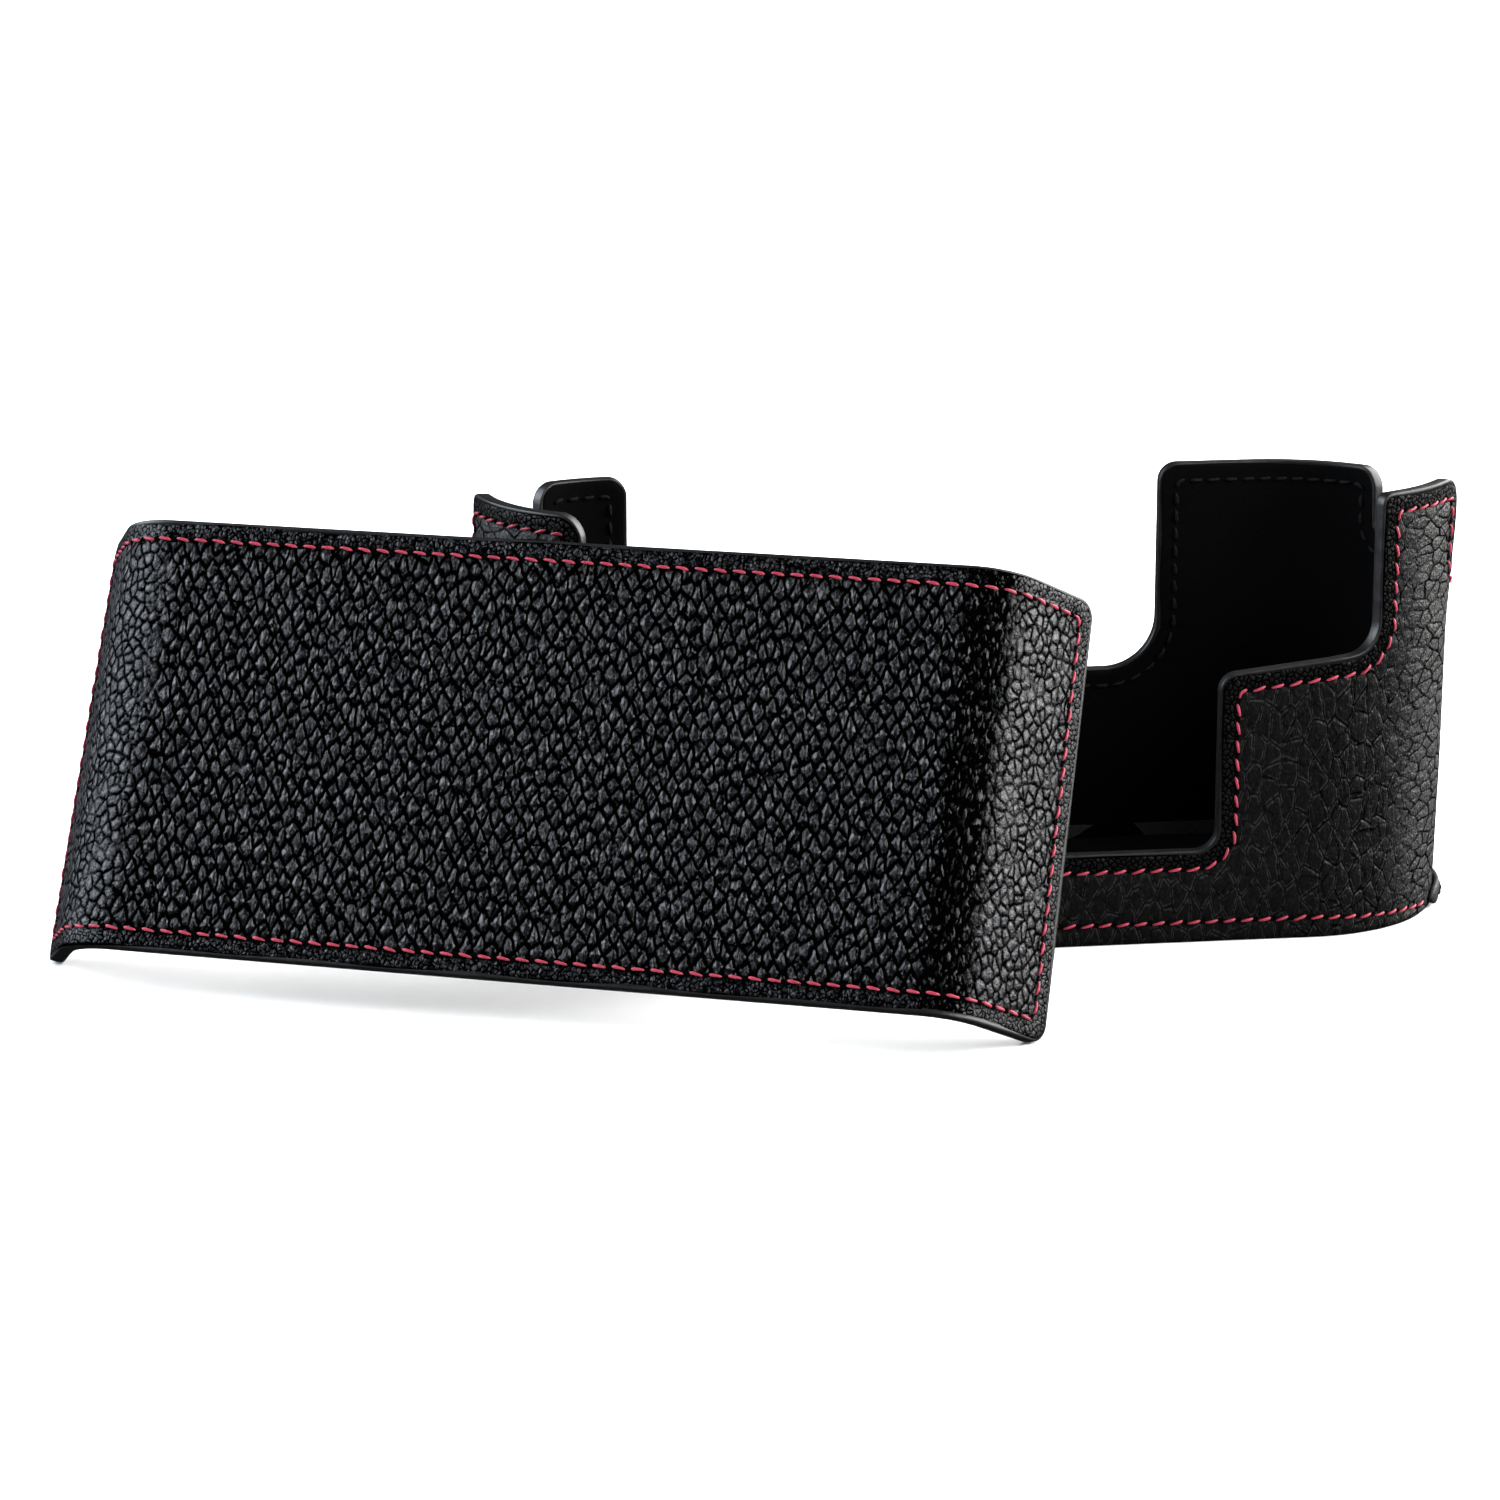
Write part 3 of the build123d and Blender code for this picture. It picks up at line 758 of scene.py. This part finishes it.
# Lightless black: the painted shade in the needle holes.
hole_shade = Finish("needle_hole", base_color=(0.001, 0.001, 0.001, 1), roughness=1.0,
                      specular_ior_level=0.0).material
needle_holes("case_rim_needle_hole_shade", rim_walk, rim_count, around_case, "half_case")
red_thread = thread_finish("red_thread", (0.40, 0.036, 0.070, 1), (0.09, 0.006, 0.014, 1), 0.30)
black_thread = thread_finish("black_thread", (0.004, 0.004, 0.0045, 1), (0.002, 0.002, 0.002, 1), 0.7, 0.1)
sew("case_rim_stitches", rim_walk, rim_count, around_case, red_thread, "half_case",
    ["rim_thread_outer"])
sew("case_rim_bobbin_stitches", rim_walk, rim_count, around_case, black_thread, "half_case",
    ["rim_thread_inner"], face_depth=wall, side=-1, slant=-0.1, width=0.26)


def around_base(s, z, depth):
    """The same as around_case, but on the drawn-in bottom of the wall."""
    return around_case(s, z, depth + base_draw(z))


needle_holes("case_base_needle_hole_shade", base_walk, base_count, around_base, "half_case")
sew("case_base_stitches", base_walk, base_count, around_base, red_thread, "half_case",
    ["base_thread"])


# ---- Rear base binding ----------------------------------------------------------------------
# A narrow strip of smooth black leather folded over the bottom edge of the back, with its own row
# of black stitches.

def smooth_leather(name, colour, gloss):
    finish = Finish(name, specular_ior_level=0.3)
    place = grain_place(finish)
    wandering = grain_place(finish, (0.8, 0.8, 0.8), wander=0.8, wander_size=2.0)
    wrinkles = cells(finish, wandering, "DISTANCE_TO_EDGE", dimensions="3D")
    pores = finish.noise(place, 0.25, 3.0, 0.6)
    clouds = finish.noise(place, 6.0, 2.0)
    finish.bump(finish.step(wrinkles, 0.0, 0.12) * 0.03 + pores * 0.035)
    light = tuple(1.7 * part for part in colour[:3]) + (1,)
    finish.set({"Base Color": finish.mix(clouds, colour, light), "Roughness": gloss + 0.15 * pores})
    return finish.material


binding_low, binding_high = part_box("rear_base_binding")
binding_thick = binding_high.y / MM - end_radius
binding_start = end_at(-12.0, 1)
binding_leather = smooth_leather("binding_leather", (0.003, 0.003, 0.003, 1), 0.5)
binding_end = 2 * back_middle - binding_start
stations, sides = 220, 20
binding_s = np.linspace(binding_start, binding_end, stations)
round_over = np.linspace(0, tau, sides, endpoint=False)
binding_middle = (binding_low.z + binding_high.z) / 2 / MM
binding_half = (binding_high.z - binding_low.z) / 2 / MM


def round_back(s, z, depth):
    """Past the middle of the back, the unrolled wall goes on from its other end."""
    wrapped = np.where(s > back_middle, s - 2 * back_middle, s)
    return around_case(wrapped, z, depth)


share = np.minimum(np.arange(stations), np.arange(stations)[::-1])
swell = np.clip(share / 2.5, 0, 1) ** 0.5 * 0.9 + 0.1
section_out = -binding_thick / 2 + 0.12 + np.sign(-np.cos(round_over)) * np.abs(np.cos(round_over)) ** 0.6 * (
    binding_thick / 2 - 0.02)
section_up = np.sign(np.sin(round_over)) * np.abs(np.sin(round_over)) ** 0.6 * binding_half
binding_depth = section_out[None] * (0.4 + 0.6 * swell[:, None])
binding_z = binding_middle + section_up[None] * swell[:, None]
places = round_back(np.repeat(binding_s, sides), binding_z.ravel(), binding_depth.ravel())
last = (stations - 1) * sides
faces = [[i + k, i + sides + k, i + sides + (k + 1) % sides, i + (k + 1) % sides]
         for i in range(0, last, sides) for k in range(sides)]
faces += [[k for k in range(sides)], [last + k for k in reversed(range(sides))]]
make_piece("case_rear_binding", places, faces, binding_leather, "half_case",
           ["rear_base_binding"])
stitch_length = 2.6
binding_seam = np.array([(binding_start + stitch_length, binding_middle),
                         (binding_end - stitch_length, binding_middle)])
binding_walk, binding_count = walk(binding_seam, stitch_length, closed=False)
sew("case_binding_stitches", binding_walk, binding_count, round_back, black_thread, "half_case",
    ["binding_thread"], face_depth=-binding_thick + 0.12, slant=0.12)


# ---- Base -----------------------------------------------------------------------------------
# A shallow leather tray holds a stiff plate, and a suede sheet covers the plate inside.

base_leather = smooth_leather("base_leather", (0.016, 0.016, 0.017, 1), 0.5)


def refinish(node, material):
    """Gives a CAD node a finish, with its hide coordinates in millimetres."""
    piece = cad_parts[node]
    piece.data.materials.clear()
    piece.data.materials.append(material)
    places = np.empty(len(piece.data.vertices) * 3, np.float32)
    piece.data.vertices.foreach_get("co", places)
    grain = piece.data.attributes.new("hide_mm", "FLOAT_VECTOR", "POINT")
    grain.data.foreach_set("vector", places / MM)


def metal(name, colour, gloss, scratch):
    finish = Finish(name, metallic=1.0)
    place = grain_place(finish)
    lines = finish.noise(finish.vector("MULTIPLY", place, scratch), 0.6, 3.0, 0.6)
    smudges = finish.noise(place, 4.0, 2.0)
    finish.bump(lines * 0.012)
    darkened = tuple(0.7 * part for part in colour[:3]) + (1,)
    finish.set({"Base Color": finish.mix(smudges, darkened, colour), "Roughness": gloss + 0.18 * lines})
    return finish.material


def board(name, colour, speck):
    finish = Finish(name)
    place = grain_place(finish)
    fibre = finish.noise(place, 0.5, 4.0, 0.7)
    finish.bump(fibre * 0.06)
    finish.set({"Base Color": finish.mix(fibre, colour, speck), "Roughness": 0.8 + 0.15 * fibre})
    return finish.material


refinish("base_leather", base_leather)
refinish("base_plate", metal("brushed_plate", (0.62, 0.62, 0.63, 1), 0.32, (0.2, 6, 6)))
stiff_board = board("stiff_board", (0.10, 0.09, 0.08, 1), (0.16, 0.15, 0.13, 1))
magnet_rubber = board("magnet_rubber", (0.03, 0.03, 0.032, 1), (0.06, 0.06, 0.065, 1))
refinish("cover_stiffener", stiff_board)
for node in ("case_magnet_left", "case_magnet_right", "cover_magnet_left", "cover_magnet_right"):
    refinish(node, magnet_rubber)


def racetrack_line(half_length, radius, steps=48):
    """The closed outline of the half case's plan, moved in to a given radius."""
    turn = np.linspace(-pi / 2, pi / 2, steps)
    right = np.stack([half_length + radius * np.cos(turn), radius * np.sin(turn)], -1)
    return np.concatenate([right, -right])


screw_centre = (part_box("tripod_screw")[0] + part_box("tripod_screw")[1]) / 2 / MM
bushing_radius = (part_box("screw_bushing")[1].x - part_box("screw_bushing")[0].x) / 2 / MM
plan = racetrack_line(end_centre, end_radius - wall + 0.05)
flat, faces, inset = cut_sheet(plan, (-end_centre - end_radius, end_centre + end_radius),
                               (-end_radius, end_radius), 0.9)
away = np.hypot(flat[:, 0] - screw_centre.x, flat[:, 1])
faces = [face for face in faces if min(away[corner] for corner in face) > bushing_radius - 0.4]
used, faces = without_spares(faces, len(flat))
flat, inset, away = flat[used], inset[used], away[used]
pulled = np.where(away < bushing_radius + 0.6, bushing_radius / np.maximum(away, 1e-6), 1)
flat = np.stack([screw_centre.x + (flat[:, 0] - screw_centre.x) * pulled, flat[:, 1] * pulled], -1)


def on_floor(x, y, height):
    return np.stack([x, y, height + 0 * x], -1) * MM


sag = 0.10 * slow_waves(flat, 18, 9) - 0.25 * np.clip(1 - inset / 1.5, 0, 1) ** 2
places, faces = closed_sheet(flat, faces, on_floor, floor_top + sag, np.full(len(flat), floor_top - lining))
make_piece("case_base_lining", places, faces, suede, "half_case", ["base_lining"])


# ---- Camera screw ---------------------------------------------------------------------------
# A turned steel screw with a wide coin-slotted head and a quarter-inch thread, held in its brass
# bushing by a snap ring.

brass = metal("turned_brass", (0.78, 0.60, 0.30, 1), 0.25, (4, 4, 0.3))
steel = metal("turned_steel", (0.60, 0.60, 0.61, 1), 0.24, (4, 4, 0.3))
refinish("screw_bushing", brass)
refinish("screw_retainer", steel)
screw_low, screw_high = (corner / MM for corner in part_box("tripod_screw"))
head_radius = (screw_high.x - screw_low.x) / 2
head_top = screw_low.z + 2.2
groove_from, thread_from = (corner.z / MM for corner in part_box("screw_retainer"))
stub_radius = 3.175
thread_pitch = 1.27
thread_depth = 0.55
around = 72


def screw_profile():
    """Heights and radii up the screw, from the middle of its head's underside to its tip."""
    head = [(screw_low.z, 0.01), (screw_low.z, head_radius - 0.4), (screw_low.z + 0.12, head_radius - 0.1),
            (screw_low.z + 0.4, head_radius), (head_top - 0.4, head_radius),
            (head_top - 0.1, head_radius - 0.12), (head_top, head_radius - 0.4), (head_top, stub_radius)]
    journal = [(groove_from, stub_radius), (groove_from, stub_radius - 0.6), (thread_from, stub_radius - 0.6),
               (thread_from, stub_radius)]
    thread = [(z, stub_radius) for z in np.arange(thread_from + 0.08, screw_high.z - 0.55, 0.08)]
    tip = [(screw_high.z - 0.5, stub_radius - 0.05), (screw_high.z, stub_radius - 0.6), (screw_high.z, 0.01)]
    return np.array(head + journal + thread + tip)


profile = screw_profile()
turn = np.linspace(0, tau, around, endpoint=False)
height = np.repeat(profile[:, 0], around).reshape(-1, around)
radius = np.repeat(profile[:, 1], around).reshape(-1, around)
phase = (height / thread_pitch - turn / tau) % 1
threaded = (height > thread_from + 0.05) & (height < screw_high.z - 0.45)
radius = radius - np.where(threaded, thread_depth * np.abs(2 * phase - 1), 0)
knurled = (height < head_top - 0.2) & (radius > head_radius - 0.05)
radius = radius - np.where(knurled, 0.12 * (np.arange(around) % 2), 0)
places = np.stack([screw_centre.x + radius * np.cos(turn), radius * np.sin(turn), height], -1) * MM
faces = tube_faces(len(profile), around)
screw = make_piece("camera_screw_turned", places.reshape(-1, 3), faces, steel, "camera_screw",
                   ["tripod_screw"])
slot_mesh = bpy.data.meshes.new("slot_cutter")
slot_cutter = bpy.data.objects.new("slot_cutter", slot_mesh)
bpy.context.scene.collection.objects.link(slot_cutter)
slot_half, slot_depth = 0.9, 1.1
corners = [((screw_centre.x + x) * MM, y * MM, (screw_low.z + z) * MM)
           for x in (-12, 12) for y in (-slot_half, slot_half) for z in (-slot_depth, slot_depth)]
slot_mesh.from_pydata(corners, [], [[0, 1, 3, 2], [4, 6, 7, 5], [0, 4, 5, 1],
                                    [2, 3, 7, 6], [0, 2, 6, 4], [1, 5, 7, 3]])
cut = screw.modifiers.new("coin_slot", "BOOLEAN")
cut.operation = "DIFFERENCE"
cut.object = slot_cutter
bpy.context.view_layer.update()
cut_mesh = bpy.data.meshes.new_from_object(screw.evaluated_get(bpy.context.evaluated_depsgraph_get()))
screw.modifiers.clear()
screw.data = cut_mesh
bpy.data.objects.remove(slot_cutter)


# ---- Cover ----------------------------------------------------------------------------------
# A stiff panel of the same hide in deeper grain, with both ends moulded round to hook over the
# camera's rounded ends. It stands on the bottom corners of those ends and leans back.

cover_flat = 116.7
cover_bend_radius = 10.2
cover_bend = radians(60.8)
cover_tail = 12.2
cover_height = 62.5
cover_corner = 2.6
cover_yaw = radians(23.4)
cover_lean = radians(28.5)
cover_gap = 0.6
cover_along = -2.9
cover_half = cover_flat / 2 + cover_bend_radius * cover_bend + cover_tail


def cover_origin():
    """The middle of the flat's outer bottom edge, from how the cover stands beside the half case."""
    along, up = sin(cover_bend) * sin(cover_lean), cos(cover_lean)
    slope = hypot(along, up)
    tail_at = cover_tail - cover_corner + cover_corner * along / slope
    height_at = cover_corner - cover_corner * up / slope
    depth_at = cover_bend_radius - (cover_bend_radius - wall) * cos(cover_bend) + tail_at * sin(cover_bend)
    reach = end_radius + cover_gap + cover_height * sin(cover_lean) + wall * cos(cover_lean)
    return Vector((-end_centre - reach * sin(cover_yaw) + cover_along * cos(cover_yaw),
                   -reach * cos(cover_yaw) - cover_along * sin(cover_yaw),
                   depth_at * sin(cover_lean) - height_at * cos(cover_lean)))


cover_turn = Matrix.Rotation(-cover_yaw, 3, "Z") @ Matrix.Rotation(-cover_lean, 3, "X")
cover_turn = np.array(cover_turn)
cover_start = np.array(cover_origin())


def over_cover(s, v, depth):
    """From a place on the flat cover to where it stands, in metres."""
    along = np.abs(s)
    angle = np.clip((along - cover_flat / 2) / cover_bend_radius, 0, cover_bend)
    past = np.maximum(along - cover_flat / 2 - cover_bend_radius * cover_bend, 0)
    radius = cover_bend_radius - depth
    x = np.minimum(along, cover_flat / 2) + radius * np.sin(angle) + past * cos(cover_bend)
    y = cover_bend_radius - radius * np.cos(angle) + past * sin(cover_bend)
    upright = np.stack([np.sign(s) * x, y, v + 0 * x], -1)
    return (upright @ cover_turn.T + cover_start) * MM


def cover_corners(inset):
    """The flat cover's outline, clockwise so that its inside lies to the right."""
    half, low, high = cover_half - inset, inset, cover_height - inset
    radius = max(cover_corner - inset, 1.3)
    return [(0, high, 0), (half, high, radius), (half, low, radius), (-half, low, radius),
            (-half, high, radius), (0, high, 0)]


cover_line = rounded_line(cover_corners(0))[:-1]
cover_seam_inset = 2.8
cover_seam = rounded_line(cover_corners(cover_seam_inset))[:-1]
cover_walk, cover_count = walk(cover_seam, 2.75, closed=True)


def cover_lively(finish, place):
    along = finish.along(place)
    return 1 - 0.6 * finish.step(along, 58, 61) * (1 - finish.step(along, 64, 67))


def cover_worn(finish, place):
    """The moulded ends have been pressed flatter and rubbed; there the painted dimming leaves the pebbles
    for the margin, and the painted crease shade is at its darkest.
    """
    along = finish.along(place)
    return finish.step(along, 63, 68) + finish.step(along * -1, 55, 62)


def cover_painted_shade(finish, place):
    """Painted shade in a band just inside the bend."""
    along = finish.along(place)
    return 0.3 * finish.step(along, 57, 60) * (1 - finish.step(along, 64, 67))


cover_leather = pebbled_leather("cover_leather", cell=(2.1, 3.8), worn_cell=(2.0, 2.6), relief=0.70,
                                uneven=0.50, creases=(0.20, 0.27), lively=cover_lively, worn=cover_worn,
                                shade=cover_painted_shade, darkened=0.74, streak_glint_share=0.6, lip_glint_share=0.3, crease_shade=0.95,
                                colour=(0.0034, 0.0038, 0.0056, 1), gloss=0.18, shine=0.55)
flat, faces, inset = cut_sheet(cover_line, (-cover_half, cover_half), (0, cover_height), 0.5)
drawn = pressed_by(flat, cover_walk(np.arange(cover_count)), inset < 6)
outer = drawn + rounded_edge(inset) - 0.12 * slow_waves(flat, 26, 11)
hide_piece("cover_panel_leather", flat, faces, inset, over_cover, outer, np.full(len(flat), leather),
           cover_leather, "cover", ["cover_leather"])
cover_ring = np.concatenate([cover_line, cover_line[:1]])
painted_edge("cover_edge_paint", dense(cover_ring, bead_spacing), over_cover, wall, True, "cover")
flat, faces, inset = cut_sheet(cover_line, (-cover_half, cover_half), (0, cover_height), 1.0)
drawn = pressed_by(flat, cover_walk(np.arange(cover_count)), inset < 6)
inner = wall - 0.6 * drawn - rounded_edge(inset, 0.9, 0.2) + 0.06 * slow_waves(flat, 20, 13)
places, faces = closed_sheet(flat, faces, over_cover, np.full(len(flat), leather + stiffener), inner)
make_piece("cover_panel_lining", places, faces, suede, "cover", ["cover_lining"])
needle_holes("cover_needle_hole_shade", cover_walk, cover_count - 1, over_cover, "cover")
sew("cover_stitches", cover_walk, cover_count, over_cover, red_thread, "cover",
    ["cover_thread_outer"], slant=-0.14)
sew("cover_bobbin_stitches", cover_walk, cover_count, over_cover, black_thread, "cover",
    ["cover_thread_inner"], face_depth=wall, side=-1, slant=0.1, width=0.26)


# ---- Table and light ------------------------------------------------------------------------
# A plain white sweep, a soft light at each side, a third from the front right, a wide one overhead
# and one that lights the sweep behind.

def white_paper():
    finish = Finish("white_paper")
    place = finish.node("ShaderNodeTexCoord", output=3)
    tooth = finish.noise(place, 0.004, 2.0)
    paper = finish.mix(tooth, (0.90, 0.90, 0.90, 1), (0.93, 0.93, 0.93, 1))
    finish.set({"Base Color": paper, "Roughness": 0.9, "Specular IOR Level": 0.1})
    return finish.material


sweep_profile = [(-3.0, 0.0), (0.9, 0.0)]
sweep_profile += [(0.9 + 0.6 * sin(a), 0.6 - 0.6 * cos(a)) for a in np.linspace(0, pi / 2, 14)[1:]]
sweep_profile += [(1.5, 3.0)]
sweep_mesh = bpy.data.meshes.new("sweep")
sweep_mesh.from_pydata([(x, y, z) for y, z in sweep_profile for x in (-3.5, 3.5)], [],
                       [[2 * i, 2 * i + 1, 2 * i + 3, 2 * i + 2] for i in range(len(sweep_profile) - 1)])
sweep_mesh.polygons.foreach_set("use_smooth", [True] * len(sweep_mesh.polygons))
sweep_mesh.materials.append(white_paper())
sweep = bpy.data.objects.new("sweep", sweep_mesh)
bpy.context.scene.collection.objects.link(sweep)


def soft_light(name, place, target, size, power, colour=(1, 1, 1), seen_in_gloss=True):
    data = bpy.data.lights.new(name, "AREA")
    data.shape = "RECTANGLE"
    data.size, data.size_y = size
    data.energy = power
    data.color = colour
    light = bpy.data.objects.new(name, data)
    bpy.context.scene.collection.objects.link(light)
    light.location = place
    light.rotation_euler = (Vector(target) - Vector(place)).to_track_quat("-Z", "Y").to_euler()
    light.visible_glossy = seen_in_gloss


middle = (-0.03, 0.0, 0.03)
soft_light("left_box", (-0.86, 0.16, 0.42), middle, (0.9, 0.6), 19, (0.84, 0.91, 1.0))
soft_light("right_box", (0.66, 0.16, 0.36), middle, (1.1, 0.68), 24, (1.0, 0.99, 0.97))
soft_light("front_right_box", (0.62, -0.52, 0.58), middle, (0.75, 0.55), 13)
soft_light("top_box", (0.0, 0.2, 1.6), (0, 0.0, 0), (1.8, 1.4), 30, seen_in_gloss=False)
soft_light("back_box", (0.0, 0.6, 1.4), (0, 1.6, 0.4), (2.0, 0.6), 30, seen_in_gloss=False)
sweep.visible_glossy = False

world = bpy.data.worlds.new("room")
bpy.context.scene.world = world
world.use_nodes = True
room = world.node_tree.nodes["Background"].inputs
room["Color"].default_value = (0.9, 0.95, 1.0, 1)
room["Strength"].default_value = 0.03
bpy.context.scene.view_settings.view_transform = "Standard"
